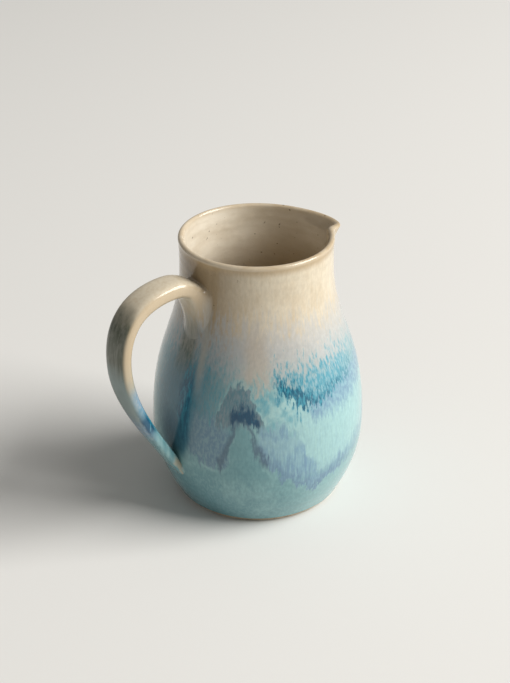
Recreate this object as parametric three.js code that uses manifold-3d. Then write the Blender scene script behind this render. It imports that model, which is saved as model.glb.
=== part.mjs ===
// Hand-thrown stoneware pitcher: a round-bellied body with a pulled spout, standing on a turned
// foot, and a pulled strap handle whose two roots are worked onto the wall with soft clay.
// Millimetres. +Z is up, the axis of the body is the Z axis and the foot stands on Z = 0.
// The handle reaches towards -X, and the spout points nearly the other way.

import * as THREE from "three";
import { mergeVertices } from "three/addons/utils/BufferGeometryUtils.js";
import Module from "manifold-3d";

// ---------------------------------------------------------------- driving dimensions

const HEIGHT = 177; // table to rim
const BELLY_RADIUS = 68;
const BELLY_HEIGHT = 51.4; // widest level above the table
const BASE_RADIUS = 52.1; // outline at table level
const NECK_RADIUS = 48.2;
const NECK_BELOW_RIM = 17;
const RIM_RADIUS = 49;

const WALL = 4.6; // wall thickness at the floor
const RIM_WALL = 3.5; // wall thickness at the lip
const FLOOR = 5;
const INNER_CORNER = 12; // radius between the floor and the wall inside

const FOOT_INSET = 0.7; // how far the foot's edge stands in from the outline
const FOOT_THICKNESS = 3;
const FOOT_CHAMFER = 0.9;

const SPOUT_TURN = -19; // degrees from +X
const SPOUT_REACH = 8.6; // how far the lip is pulled out
const SPOUT_DROP = 1.5; // how far the tip dips below the rim
const SPOUT_STEEP_SPREAD = 7; // degrees, the short flank, towards -Y
const SPOUT_LONG_SPREAD = 20.5; // degrees, the long flank, towards +Y
const SPOUT_DEPTH = 34; // how far down the wall the pull reaches

const HANDLE_ROOT_BELOW_RIM = 25.3; // centre of the upper root
const HANDLE_CREST_RISE = 9.7; // top of the loop above the upper root
const HANDLE_CREST_OUT = 18.4; // top of the loop from the wall at the upper root
const HANDLE_STANDOFF = 36.7; // outermost centreline beyond the belly
const HANDLE_OUTERMOST_DROP = 37.7; // outermost level below the top of the loop
const HANDLE_TAIL_HEIGHT = 35.2; // where the centreline meets the wall again
const HANDLE_WIDTH = { root: 19, middle: 18.4, tail: 13.4 };
const HANDLE_THICKNESS = { root: 11.2, middle: 8.2, tail: 6.7 };

// Soft clay round a root: beyond the strap's sides, beyond its faces, and out from the wall.
const UPPER_CLAY = { side: 5, above: 5.9, depth: 4.6 };
const LOWER_CLAY = { side: 3.8, above: 8.65, depth: 5.2 };
const LOWER_CLAY_RISE = 2.5; // its middle above the foot of the loop

const GAP = 0.3; // clearance between neighbouring pieces

// ---------------------------------------------------------------- shape factors and fineness

const BASE_LEAN = new THREE.Vector2(4.8, 9.1); // direction and pull of the outline off the foot
const BELLY_PULL_DOWN = 0.49; // share of the belly height
const BELLY_PULL_UP = 0.5; // share of the rise from belly to neck
const NECK_PULL_DOWN = 0.4; // share of the same rise
const NECK_PULL_UP = 0.3; // share of the rise from neck to rim
const RIM_PULL_DOWN = 0.3; // share of the same rise
const RIM_LEAN = 0.2; // outward lean of the wall as it reaches the rim
const SPOUT_CURL = 2.2; // above 1, the pull gathers near the lip
const SECTION_POWER = 2.7; // 2 is an ellipse, higher is squarer
const ROOT_LIFT = { out: 0.27, up: 0.62 }; // shares of the way from the root to the crest
const CREST_PULL = { back: 0.38, on: 0.82 }; // shares of the way to the root, and to the outermost
const OUTER_PULL = { up: 0.47, down: 0.365 }; // shares of the rise to the crest and of the drop
const TAIL_PULL = { out: 0.288, up: 0.264 }; // shares of the loop's return and of its drop
const ROOT_SINK = 12; // how far the strap runs into the wall before its ends are cut to it

const AROUND = 84; // facets round the body
const OUTLINE_STEPS = [6, 9, 5]; // for each curve of the outline
const LIP_STEPS = 4;
const CORNER_STEPS = 3;
const STRAP_STEPS = 36;
const STRAP_SIDES = 18;
const MOUND_SIDES = 32;
const MOUND_STEPS = 18;

const { clamp, degToRad, euclideanModulo, lerp, radToDeg } = THREE.MathUtils;
const at = (x, y) => new THREE.Vector2(x, y);
const cubicBezier = (...points) => new THREE.CubicBezierCurve(...points);

// ---------------------------------------------------------------- joining and cutting

const wasm = await Module();
wasm.setup();

function toSolid(geometry) {
  const bare = geometry.clone();
  bare.deleteAttribute("normal");
  bare.deleteAttribute("uv");
  const merged = mergeVertices(bare, 1e-4);
  const vertProperties = new Float32Array(merged.attributes.position.array);
  const triVerts = new Uint32Array(merged.index.array);
  return new wasm.Manifold(new wasm.Mesh({ numProp: 3, vertProperties, triVerts }));
}

function toGeometry(solid) {
  const mesh = solid.getMesh();
  const geometry = new THREE.BufferGeometry();
  geometry.setAttribute("position", new THREE.BufferAttribute(mesh.vertProperties, 3));
  geometry.setIndex(new THREE.BufferAttribute(mesh.triVerts, 1));
  geometry.computeVertexNormals();
  return geometry;
}

// ---------------------------------------------------------------- outline of the body

const neckHeight = HEIGHT - NECK_BELOW_RIM;
const bellyToNeck = neckHeight - BELLY_HEIGHT;

// Radius against height, from the table to the top of the wall.
const outline = new THREE.CurvePath();
outline.add(
  cubicBezier(
    at(BASE_RADIUS, 0),
    at(BASE_RADIUS, 0).add(BASE_LEAN),
    at(BELLY_RADIUS, BELLY_HEIGHT * (1 - BELLY_PULL_DOWN)),
    at(BELLY_RADIUS, BELLY_HEIGHT),
  ),
);
outline.add(
  cubicBezier(
    at(BELLY_RADIUS, BELLY_HEIGHT),
    at(BELLY_RADIUS, BELLY_HEIGHT + bellyToNeck * BELLY_PULL_UP),
    at(NECK_RADIUS, neckHeight - bellyToNeck * NECK_PULL_DOWN),
    at(NECK_RADIUS, neckHeight),
  ),
);
outline.add(
  cubicBezier(
    at(NECK_RADIUS, neckHeight),
    at(NECK_RADIUS, neckHeight + NECK_BELOW_RIM * NECK_PULL_UP),
    at(RIM_RADIUS - NECK_BELOW_RIM * RIM_PULL_DOWN * RIM_LEAN, HEIGHT - NECK_BELOW_RIM * RIM_PULL_DOWN),
    at(RIM_RADIUS, HEIGHT),
  ),
);

const outlinePoints = outline.curves.flatMap((curve, i) =>
  curve.getPoints(OUTLINE_STEPS[i]).slice(i === 0 ? 0 : 1),
);

function outerRadius(height) {
  const next = outlinePoints.findIndex((p) => p.y >= height);
  if (next <= 0) return outlinePoints.at(next).x;
  const [below, above] = [outlinePoints[next - 1], outlinePoints[next]];
  return lerp(below.x, above.x, (height - below.y) / (above.y - below.y));
}

const wallAt = (height) => lerp(WALL, RIM_WALL, height / HEIGHT);

// ---------------------------------------------------------------- pulled spout

const bell = (angle, spread) => Math.exp(-((angle / spread) ** 2) / 2);

// Moves the wall near the rim out and a little down at the spout, steeply on one side of it.
function pullSpout(geometry) {
  const position = geometry.attributes.position;
  const point = new THREE.Vector3();
  for (let i = 0; i < position.count; i += 1) {
    point.fromBufferAttribute(position, i);
    const radius = Math.hypot(point.x, point.y);
    const rise = clamp((point.z - HEIGHT + SPOUT_DEPTH) / SPOUT_DEPTH, 0, 1);
    if (radius > 0 && rise > 0) {
      const turn = radToDeg(Math.atan2(point.y, point.x)) - SPOUT_TURN;
      const away = euclideanModulo(turn + 180, 360) - 180;
      const pull = bell(away, away < 0 ? SPOUT_STEEP_SPREAD : SPOUT_LONG_SPREAD) * rise ** SPOUT_CURL;
      const stretch = (radius + SPOUT_REACH * pull) / radius;
      position.setXYZ(i, point.x * stretch, point.y * stretch, point.z - SPOUT_DROP * pull);
    }
  }
  return geometry;
}

// Turns a profile of (radius, height) points round the Z axis, with one column at the spout.
function turned(profile) {
  const start = degToRad(SPOUT_TURN + 90);
  return new THREE.LatheGeometry(profile, AROUND, start).rotateX(Math.PI / 2);
}

// ---------------------------------------------------------------- body and foot

function bodyGeometry() {
  const bottom = FOOT_THICKNESS + GAP;
  const lip = RIM_WALL / 2;
  const floor = bottom + FLOOR;
  const top = HEIGHT - lip;

  const outside = outlinePoints.filter((p) => p.y > bottom && p.y < top);
  const inside = outside
    .filter((p) => p.y > floor + INNER_CORNER)
    .map((p) => at(p.x - wallAt(p.y), p.y))
    .reverse();
  const lipCentre = at(outerRadius(top) - lip, top);
  const lipArc = Array.from({ length: LIP_STEPS + 1 }, (_, i) => {
    const angle = (Math.PI * i) / LIP_STEPS;
    return at(lipCentre.x + lip * Math.cos(angle), lipCentre.y + lip * Math.sin(angle));
  });
  const cornerTop = floor + INNER_CORNER;
  const cornerRadius = outerRadius(cornerTop) - wallAt(cornerTop);
  const corner = Array.from({ length: CORNER_STEPS + 1 }, (_, i) => {
    const angle = (Math.PI / 2) * (i / CORNER_STEPS);
    return at(
      cornerRadius - INNER_CORNER * (1 - Math.cos(angle)),
      cornerTop - INNER_CORNER * Math.sin(angle),
    );
  });

  const profile = [
    at(0, bottom),
    at(outerRadius(bottom), bottom),
    ...outside,
    ...lipArc,
    ...inside,
    ...corner,
    at(0, floor),
  ];
  return pullSpout(turned(profile));
}

function footGeometry() {
  const radius = BASE_RADIUS - FOOT_INSET;
  return turned([
    at(0, 0),
    at(radius - FOOT_CHAMFER, 0),
    at(radius, FOOT_CHAMFER),
    at(radius, FOOT_THICKNESS),
    at(0, FOOT_THICKNESS),
  ]);
}

// The body's outer shape as one filled solid, grown by the clearance: it trims what sits on it.
function bodyTrim() {
  const side = outlinePoints.map((p) => at(p.x + GAP, p.y));
  return toSolid(turned([at(0, 0), ...side, at(0, HEIGHT)]));
}

// ---------------------------------------------------------------- handle

const rootHeight = HEIGHT - HANDLE_ROOT_BELOW_RIM;
const root = at(outerRadius(rootHeight), rootHeight);
const crest = root.clone().add(at(HANDLE_CREST_OUT, HANDLE_CREST_RISE));
const outermost = at(BELLY_RADIUS + HANDLE_STANDOFF, crest.y - HANDLE_OUTERMOST_DROP);
const tail = at(outerRadius(HANDLE_TAIL_HEIGHT), HANDLE_TAIL_HEIGHT);

// Centreline of the strap: out from the neck, over the crest, down to the foot of the loop.
const centreline = new THREE.CurvePath();
centreline.add(
  cubicBezier(
    root,
    at(lerp(root.x, crest.x, ROOT_LIFT.out), lerp(root.y, crest.y, ROOT_LIFT.up)),
    at(lerp(crest.x, root.x, CREST_PULL.back), crest.y),
    crest,
  ),
);
centreline.add(
  cubicBezier(
    crest,
    at(lerp(crest.x, outermost.x, CREST_PULL.on), crest.y),
    at(outermost.x, lerp(outermost.y, crest.y, OUTER_PULL.up)),
    outermost,
  ),
);
centreline.add(
  cubicBezier(
    outermost,
    at(outermost.x, lerp(outermost.y, tail.y, OUTER_PULL.down)),
    at(lerp(tail.x, outermost.x, TAIL_PULL.out), lerp(tail.y, outermost.y, TAIL_PULL.up)),
    tail,
  ),
);

// Root value at 0, middle value at half way, tail value at 1, with no kink between them.
function taper(size, along) {
  const smooth = (t) => t * t * (3 - 2 * t);
  if (along < 0.5) return lerp(size.root, size.middle, smooth(along * 2));
  return lerp(size.middle, size.tail, smooth(along * 2 - 1));
}

// Rounded flat section, one unit from its middle to each side.
function strapSection() {
  const round = (value) => Math.sign(value) * Math.abs(value) ** (2 / SECTION_POWER);
  const points = Array.from({ length: STRAP_SIDES }, (_, i) => {
    const angle = (2 * Math.PI * i) / STRAP_SIDES;
    return at(round(Math.cos(angle)), round(Math.sin(angle)));
  });
  return new THREE.Shape(points);
}

// A straight bar of the unit section, laid along the centreline and sized at each step.
function strap(grow) {
  const geometry = new THREE.ExtrudeGeometry(strapSection(), {
    depth: 1,
    steps: STRAP_STEPS,
    bevelEnabled: false,
  });
  const length = centreline.getLength();
  const position = geometry.attributes.position;
  for (let i = 0; i < position.count; i += 1) {
    const along = clamp(position.getZ(i), 0, 1);
    const run = lerp(-ROOT_SINK, length + ROOT_SINK, along);
    const share = clamp(run / length, 0, 1);
    const tangent = centreline.getTangent(share);
    const middle = centreline.getPoint(share).addScaledVector(tangent, run - share * length);
    const across = -position.getX(i) * (taper(HANDLE_WIDTH, share) / 2 + grow);
    const through = position.getY(i) * (taper(HANDLE_THICKNESS, share) / 2 + grow);
    const x = middle.x + tangent.y * through;
    const z = middle.y - tangent.x * through;
    position.setXYZ(i, x, across, z);
  }
  return toSolid(geometry);
}

// ---------------------------------------------------------------- clay worked round the roots

// A flattened mound lying on the wall, with the strap's passage and the body's shape cut away.
function rootClay(margin, width, thickness, height) {
  const mound = new THREE.SphereGeometry(1, MOUND_SIDES, MOUND_STEPS);
  const lean = Math.atan2(outerRadius(height + 1) - outerRadius(height - 1), 2);
  mound.scale(margin.depth, width / 2 + margin.side, thickness / 2 + margin.above);
  mound.rotateY(lean);
  mound.translate(outerRadius(height), 0, height);
  return toSolid(mound).subtract(bodyTrim()).subtract(strap(GAP));
}

// ---------------------------------------------------------------- assembly

const glaze = (color) => new THREE.MeshStandardMaterial({ color, roughness: 0.2, metalness: 0 });
const bareClay = new THREE.MeshStandardMaterial({ color: 0xc9b394, roughness: 0.8, metalness: 0 });

function piece(name, geometry, material) {
  const mesh = new THREE.Mesh(geometry, material);
  mesh.name = name;
  return mesh;
}

const pot = new THREE.Group();
pot.add(piece("foot", footGeometry(), bareClay));
pot.add(piece("body", bodyGeometry(), glaze(0x8fb0ad)));

const handleSide = new THREE.Group();
const upperClay = rootClay(UPPER_CLAY, HANDLE_WIDTH.root, HANDLE_THICKNESS.root, rootHeight);
const lowerClayHeight = HANDLE_TAIL_HEIGHT + LOWER_CLAY_RISE;
const lowerClay = rootClay(LOWER_CLAY, HANDLE_WIDTH.tail, HANDLE_THICKNESS.tail, lowerClayHeight);
handleSide.add(piece("handle", toGeometry(strap(0).subtract(bodyTrim())), glaze(0x8a8f78)));
handleSide.add(piece("upper_root_clay", toGeometry(upperClay), glaze(0xd9cbb2)));
handleSide.add(piece("lower_root_clay", toGeometry(lowerClay), glaze(0x7fa3a2)));
handleSide.rotation.z = Math.PI;

const pitcher = new THREE.Group();
pitcher.add(pot, handleSide);

export default pitcher;
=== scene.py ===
"""Glazed, hand-thrown stoneware pitcher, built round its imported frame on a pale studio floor.

The body, the foot, the strap handle and the clay worked round its two roots are separate pieces.
Lengths are metres. The axis of the body is Z, and the handle reaches towards -X. Places on the
wall are given by their turn, in degrees from the handle towards the front, and their height.
"""

import math

import bmesh
import bpy
from bpy.props import FloatProperty, FloatVectorProperty, PointerProperty
from mathutils import Matrix, Vector, noise
from mathutils.geometry import interpolate_bezier


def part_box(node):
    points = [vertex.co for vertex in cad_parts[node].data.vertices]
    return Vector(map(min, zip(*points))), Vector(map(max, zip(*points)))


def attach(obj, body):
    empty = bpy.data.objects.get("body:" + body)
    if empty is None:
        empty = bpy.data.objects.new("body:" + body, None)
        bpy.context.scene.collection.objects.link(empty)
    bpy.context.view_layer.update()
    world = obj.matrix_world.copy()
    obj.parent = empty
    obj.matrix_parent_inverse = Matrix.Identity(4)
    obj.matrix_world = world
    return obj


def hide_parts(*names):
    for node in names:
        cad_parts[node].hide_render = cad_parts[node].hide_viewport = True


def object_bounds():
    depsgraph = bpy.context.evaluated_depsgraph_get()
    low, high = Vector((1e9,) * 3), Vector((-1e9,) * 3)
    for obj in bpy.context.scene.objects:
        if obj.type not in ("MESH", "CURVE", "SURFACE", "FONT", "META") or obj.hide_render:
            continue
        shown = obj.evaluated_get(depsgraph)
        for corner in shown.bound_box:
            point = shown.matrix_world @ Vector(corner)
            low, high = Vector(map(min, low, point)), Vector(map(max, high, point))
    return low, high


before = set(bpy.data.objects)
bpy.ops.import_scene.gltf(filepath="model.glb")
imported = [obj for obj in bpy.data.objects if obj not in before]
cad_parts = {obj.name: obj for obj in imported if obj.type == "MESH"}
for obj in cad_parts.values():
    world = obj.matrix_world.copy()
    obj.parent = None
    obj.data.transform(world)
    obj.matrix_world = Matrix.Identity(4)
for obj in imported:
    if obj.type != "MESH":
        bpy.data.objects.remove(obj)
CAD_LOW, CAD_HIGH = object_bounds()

bl_info = {
    "name": "Thrown Stoneware Pitcher",
    "version": (1, 0, 0),
    "blender": (4, 5, 0),
    "location": "View3D > Sidebar > Pitcher",
    "description": "Builds a glazed pitcher with a pulled spout and a strap handle, and its studio stage",
    "category": "Add Mesh",
}

MM = 0.001
GAP = 0.3 * MM  # clearance between the foot and the body, and depth of the clay's border in the wall
MERGED = 1e-6  # points closer than this are one
BODY_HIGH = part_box("body")[1]
FOOT_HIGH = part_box("foot")[1]

HEIGHT_SCALE = 200 * MM  # heights on the glaze's curves are shares of this
LINER_SHADE_TURN = math.radians(-39)  # the side of the inside that the painted shade darkens most, the inner wall turned from the key light, from +X


# ---------------------------------------------------------------- sizes and colours


def length(name, default_mm, description):
    return FloatProperty(name=name, default=default_mm * MM, unit="LENGTH", description=description)


def degrees(name, default, description):
    return FloatProperty(
        name=name, default=math.radians(default), subtype="ANGLE", unit="ROTATION", description=description
    )


def colour(name, default, description):
    return FloatVectorProperty(
        name=name, default=default, size=3, min=0, max=1, subtype="COLOR", description=description
    )


class BodySizes(bpy.types.PropertyGroup):
    height: length("Height", BODY_HIGH.z / MM, "Table to the top of the lip")
    belly_radius: length("Belly radius", BODY_HIGH.y / MM, "Radius at the widest level")
    belly_height: length("Belly height", 51.4, "Widest level above the table")
    base_radius: length("Base radius", 52.1, "Radius of the outline at table level")
    neck_radius: length("Neck radius", 48.2, "Radius at the narrowest level of the neck")
    neck_below_rim: length("Neck below rim", 17, "Narrowest level below the lip")
    rim_radius: length("Rim radius", 48.9, "Outer radius of the lip")
    wall: length("Wall", 4.6, "Wall thickness at the floor")
    rim_wall: length("Lip", 3.5, "Wall thickness at the lip")
    floor: length("Floor", 5, "Thickness of the floor")
    inner_corner: length("Inner corner", 12, "Radius between the floor and the wall inside")
    oval: length("Oval", 0.7, "How far the soft rim went out of round, crossways to the spout")
    rings: length("Throwing rings", 0.04, "Depth of the finger rings on the wall")


class SpoutSizes(bpy.types.PropertyGroup):
    turn: degrees("Turn", 161, "Where the spout stands, from the handle")
    reach: length("Reach", 8.6, "How far the lip is pulled out")
    drop: length("Drop", 1.5, "How far the tip dips below the rim")
    depth: length("Depth", 34, "How far down the wall the pull reaches")
    short_flank: degrees("Short flank", 5.6, "Spread of the pull on the front side")
    long_flank: degrees("Long flank", 20.5, "Spread of the pull on the far side")
    channel_shift: degrees("Channel shift", 2.4, "How far the channel inside stands behind the spout")
    channel_flank: degrees("Channel flank", 4.8, "Spread of the channel on the front side")


class HandleSizes(bpy.types.PropertyGroup):
    root_below_rim: length("Root below rim", 25.3, "Centre of the upper root")
    crest_rise: length("Crest rise", 9.7, "Top of the loop above the upper root")
    crest_out: length("Crest out", 18.4, "Top of the loop from the wall")
    standoff: length("Stand-off", 36.7, "Outermost centreline beyond the belly")
    outermost_drop: length("Outermost drop", 37.7, "Outermost level below the top of the loop")
    tail_height: length("Tail height", 35.2, "Where the centreline meets the wall again")
    root_width: length("Root width", 20, "Width of the strap at the upper root")
    middle_width: length("Middle width", 19.4, "Width of the strap half way")
    tail_width: length("Tail width", 13.4, "Width of the strap at its tail")
    root_thickness: length("Root thickness", 11.2, "Thickness of the strap at the upper root")
    middle_thickness: length("Middle thickness", 8.8, "Thickness of the strap half way")
    tail_thickness: length("Tail thickness", 6.7, "Thickness of the strap at its tail")


class FootSizes(bpy.types.PropertyGroup):
    radius: length("Radius", FOOT_HIGH.y / MM, "Radius of the turned foot")
    thickness: length("Thickness", FOOT_HIGH.z / MM, "Table to the underside of the body")
    chamfer: length("Chamfer", 0.9, "Bevel at the table")
    recess: length("Recess", 0.35, "Depth of the turned hollow in the underside")


class GlazeColours(bpy.types.PropertyGroup):
    cream: colour("Cream", (0.68, 0.60, 0.46), "Upper glaze, thick and opaque")
    ochre: colour("Ochre", (0.42, 0.29, 0.145), "Where the upper glaze runs thin")
    iron: colour("Iron", (0.10, 0.062, 0.03), "Iron specks and the darkest thin edges")
    haze: colour("Haze", (0.52, 0.50, 0.46), "Where the two glazes meet")
    mint: colour("Mint", (0.35, 0.565, 0.56), "Pale pools in the lower glaze")
    teal: colour("Teal", (0.14, 0.31, 0.34), "Lower glaze")
    turquoise: colour("Turquoise", (0.035, 0.28, 0.38), "Runs in the blue field")
    cobalt: colour("Cobalt", (0.001, 0.058, 0.125), "Darkest runs in the blue field")
    lavender: colour("Lavender", (0.17, 0.305, 0.43), "Bands between the runs")
    # Olive is partly painted shade: it darkens the strap's outer face and the wall under the upper root.
    mauve: colour("Mauve", (0.07, 0.13, 0.19), "Veins of the arch")
    olive: colour("Olive", (0.092, 0.105, 0.07), "Strap and wall under the upper root")
    clay: colour("Clay", (0.62, 0.50, 0.36), "Bare fired clay")


class StageSettings(bpy.types.PropertyGroup):
    camera_turn: degrees("Camera turn", -39, "Camera's azimuth, 0 looking along +Y")
    camera_elevation: degrees("Camera elevation", 28.43, "Camera above the horizon")
    camera_distance: length("Camera distance", 889.4, "Camera to its aim")
    camera_roll: degrees("Camera roll", -0.56, "Turn about the line of sight")
    lens: FloatProperty(name="Lens", default=73.8, description="Focal length in mm on a 36 mm long side")
    floor_side: length("Floor", 12000, "Side of the square floor")
    floor_colour: colour("Floor colour", (0.80, 0.79, 0.765), "Pale matt paper")
    key_power: FloatProperty(name="Key", default=358, unit="POWER", description="Big soft light")
    key_turn: degrees("Key turn", 81, "Key light to the right of the camera")
    key_elevation: degrees("Key elevation", 38, "Key light above the horizon")
    key_distance: length("Key distance", 5000, "Key light to the middle of the pot")
    key_side: length("Key side", 3400, "Side of the square key light")
    key_colour: colour("Key colour", (1.0, 0.985, 0.96), "Warm white")
    fill: FloatProperty(name="Fill", default=0.24, description="Strength of the light from all round")
    fill_colour: colour("Fill colour", (1.0, 0.985, 0.95), "Light from all round")


class PitcherSettings(bpy.types.PropertyGroup):
    body: PointerProperty(type=BodySizes, name="Body")
    spout: PointerProperty(type=SpoutSizes, name="Spout")
    handle: PointerProperty(type=HandleSizes, name="Handle")
    foot: PointerProperty(type=FootSizes, name="Foot")
    glaze: PointerProperty(type=GlazeColours, name="Glaze")
    stage: PointerProperty(type=StageSettings, name="Stage")


# ---------------------------------------------------------------- shapes in the plane


def mix(a, b, share):
    return a + (b - a) * share


def clamp(value, low=0.0, high=1.0):
    return max(low, min(high, value))


def smooth(share):
    share = clamp(share)
    return share * share * (3 - 2 * share)


def bezier_path(curves, steps):
    """Points along cubic curves that follow on, each given as its knot, two handles and next knot."""
    path = []
    for knot, leaving, arriving, after in curves:
        points = interpolate_bezier(knot, leaving, arriving, after, steps + 1)
        path += points if not path else points[1:]
    return path


def at(path, share):
    """The point at a share of the length of a path, and that length."""
    reach = [0.0]
    for a, b in zip(path, path[1:]):
        reach.append(reach[-1] + (b - a).length)
    target = clamp(share) * reach[-1]
    i = next(i for i in range(1, len(path)) if reach[i] >= target - 1e-12)
    span = reach[i] - reach[i - 1]
    return path[i - 1].lerp(path[i], (target - reach[i - 1]) / span), reach[-1]


def arc(centre, radius, start, end, steps):
    """Points of an arc in the XZ plane, angles in degrees from +X towards +Z."""
    turns = [math.radians(mix(start, end, i / steps)) for i in range(steps + 1)]
    return [centre + radius * Vector((math.cos(a), 0, math.sin(a))) for a in turns]


# ---------------------------------------------------------------- wall of the body


class Wall:
    """The wall's outline, and how throwing and pulling the spout moved it."""

    STEPS = 40
    RING_PITCH = 5.7 * MM  # from one finger ring to the next
    SWELL_PITCH = 13.1 * MM  # slower swell under the rings
    RING_CLIMB = 0.9 * MM  # how far the rings climb in a radian
    DRIFT = 0.35 * MM  # slow unevenness of the wall
    FLAT_RADIUS = 40 * MM  # inside this the rings and the unevenness fade towards the axis
    SOFT_FROM = 0.45  # share of the height above which the wet wall went out of round

    def __init__(self, settings):
        self.body, self.spout = settings.body, settings.spout
        b = self.body
        base = Vector((b.base_radius, 0, 0))
        belly = Vector((b.belly_radius, 0, b.belly_height))
        neck = Vector((b.neck_radius, 0, b.height - b.neck_below_rim))
        rim = Vector((b.rim_radius, 0, b.height))
        rise = neck.z - belly.z
        up = Vector((0, 0, 1))
        self.path = bezier_path(
            [
                (base, base + Vector((4.8, 0, 9.1)) * MM, belly - up * belly.z * 0.49, belly),
                (belly, belly + up * rise * 0.5, neck - up * rise * 0.4, neck),
                (neck, neck + up * 5.1 * MM, rim - Vector((0.2, 0, 1)) * 5.1 * MM, rim),
            ],
            self.STEPS,
        )

    def radius(self, height):
        """Radius of the round outline at a height."""
        above = next((i for i, p in enumerate(self.path) if p.z >= height), len(self.path) - 1)
        if above == 0:
            return self.path[0].x
        low, high = self.path[above - 1], self.path[above]
        return mix(low.x, high.x, clamp((height - low.z) / (high.z - low.z)))

    def thickness(self, height):
        return mix(self.body.wall, self.body.rim_wall, height / self.body.height)

    def shaped(self, point):
        """Where a point of the round pot went, once the rim gave and the spout was pulled."""
        radius = math.hypot(point.x, point.y)
        if radius < 1 * MM:
            return point.copy()
        height = self.body.height
        turn = math.atan2(point.y, point.x)
        inward = clamp((self.radius(point.z) - radius) / self.thickness(point.z))
        away = math.remainder(turn + math.pi - self.spout.turn, math.tau)
        softness = smooth((point.z / height - self.SOFT_FROM) / (1 - self.SOFT_FROM))
        crossways = -self.body.oval * softness * math.cos(2 * away)
        climb = math.tau * (point.z + turn * self.RING_CLIMB)
        rings = math.sin(climb / self.RING_PITCH) + 0.6 * math.sin(climb / self.SWELL_PITCH + 1)
        rings *= self.body.rings * mix(1, 0.7, inward)
        drift = self.DRIFT * noise.noise(Vector((point.x, point.y, point.z * 0.6)) * 22)
        uneven = (rings + drift) * clamp(radius / self.FLAT_RADIUS)
        pull = mix(self.pull(away, 0), self.pull(away, 1), inward)
        rise = clamp((point.z - height + self.spout.depth) / self.spout.depth) ** 2.2
        moved = (radius + crossways + uneven + self.spout.reach * pull * rise) / radius
        return Vector((point.x * moved, point.y * moved, point.z - self.spout.drop * pull * rise))

    def pull(self, away, inward):
        """Share of the spout's reach at an angle from it, on the outside or in the channel."""
        spout = self.spout
        away -= inward * spout.channel_shift
        short = spout.channel_flank if inward else spout.short_flank
        return math.exp(-((away / (short if away < 0 else spout.long_flank)) ** 2) / 2)

    def point(self, turn, height, depth=0.0):
        """A point of the finished outside, by its angle from +X and its height, or that deep under it."""
        radius = self.radius(height)
        surface = self.shaped(Vector((radius * math.cos(turn), radius * math.sin(turn), height)))
        inwards = Vector((-surface.x, -surface.y, 0)).normalized()
        return surface + inwards * depth


# ---------------------------------------------------------------- mesh helpers


def placed_mesh(bm, name, material):
    """An object at the origin with the mesh and one material."""
    mesh = bpy.data.meshes.new(name)
    bm.to_mesh(mesh)
    bm.free()
    mesh.materials.append(material)
    thing = bpy.data.objects.new(name, mesh)
    bpy.context.scene.collection.objects.link(thing)
    return thing


def finish_piece(bm, name, material, node, levels=0):
    """Makes the mesh a smooth piece that stands for its frame node and takes its finish from a slot."""
    for face in bm.faces:
        face.smooth = True
    piece = placed_mesh(bm, name, material)
    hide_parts(node)
    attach(piece, "root")
    if levels:
        modifier = piece.modifiers.new("Smooth surface", "SUBSURF")
        modifier.levels = levels
        modifier.render_levels = levels


def close_surface(bm):
    """Joins points that fell together, and turns the faces outwards."""
    bmesh.ops.remove_doubles(bm, verts=bm.verts, dist=MERGED)
    bmesh.ops.recalc_face_normals(bm, faces=bm.faces)


def spin_all(bm, steps):
    """Turns the outline that is there all the way round Z."""
    outline = bm.verts[:] + bm.edges[:]
    bmesh.ops.spin(
        bm, geom=outline, cent=(0, 0, 0), axis=(0, 0, 1), angle=math.tau, steps=steps, use_merge=True
    )
    close_surface(bm)


def spin_profile(profile, steps):
    """A closed body turned from a profile of points whose two ends lie on the axis."""
    bm = bmesh.new()
    corners = [bm.verts.new(p) for p in profile]
    for pair in zip(corners, corners[1:]):
        bm.edges.new(pair)
    spin_all(bm, steps)
    return bm


def unit_ring(bm, sides):
    """A circle of radius 1 in the XY plane."""
    return bmesh.ops.create_circle(bm, cap_ends=False, segments=sides, radius=1)["verts"]


def unit_bar(sides, steps):
    """A round bar of radius 1 along Z from 0 to 1, in equal steps, with both ends closed."""
    bm = bmesh.new()
    unit_ring(bm, sides)
    edges = bm.edges[:]
    bmesh.ops.contextual_create(bm, geom=edges)
    for _ in range(steps):
        made = bmesh.ops.extrude_edge_only(bm, edges=edges)["geom"]
        ring = [e for e in made if isinstance(e, bmesh.types.BMVert)]
        edges = [e for e in made if isinstance(e, bmesh.types.BMEdge) and all(v in ring for v in e.verts)]
        bmesh.ops.translate(bm, verts=ring, vec=(0, 0, 1 / steps))
    bmesh.ops.contextual_create(bm, geom=edges)
    bmesh.ops.recalc_face_normals(bm, faces=bm.faces)
    return bm


COLLAR_RADIUS = 2  # radius of the ring that a collar starts from, with a section of radius 1


def unit_collar(sides, steps):
    """A ring round Z with a round section."""
    bm = bmesh.new()
    ring = unit_ring(bm, sides)
    bmesh.ops.rotate(bm, verts=ring, cent=(0, 0, 0), matrix=Matrix.Rotation(math.pi / 2, 3, "X"))
    bmesh.ops.translate(bm, verts=ring, vec=(COLLAR_RADIUS, 0, 0))
    spin_all(bm, steps)
    return bm


# ---------------------------------------------------------------- body and foot


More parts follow.
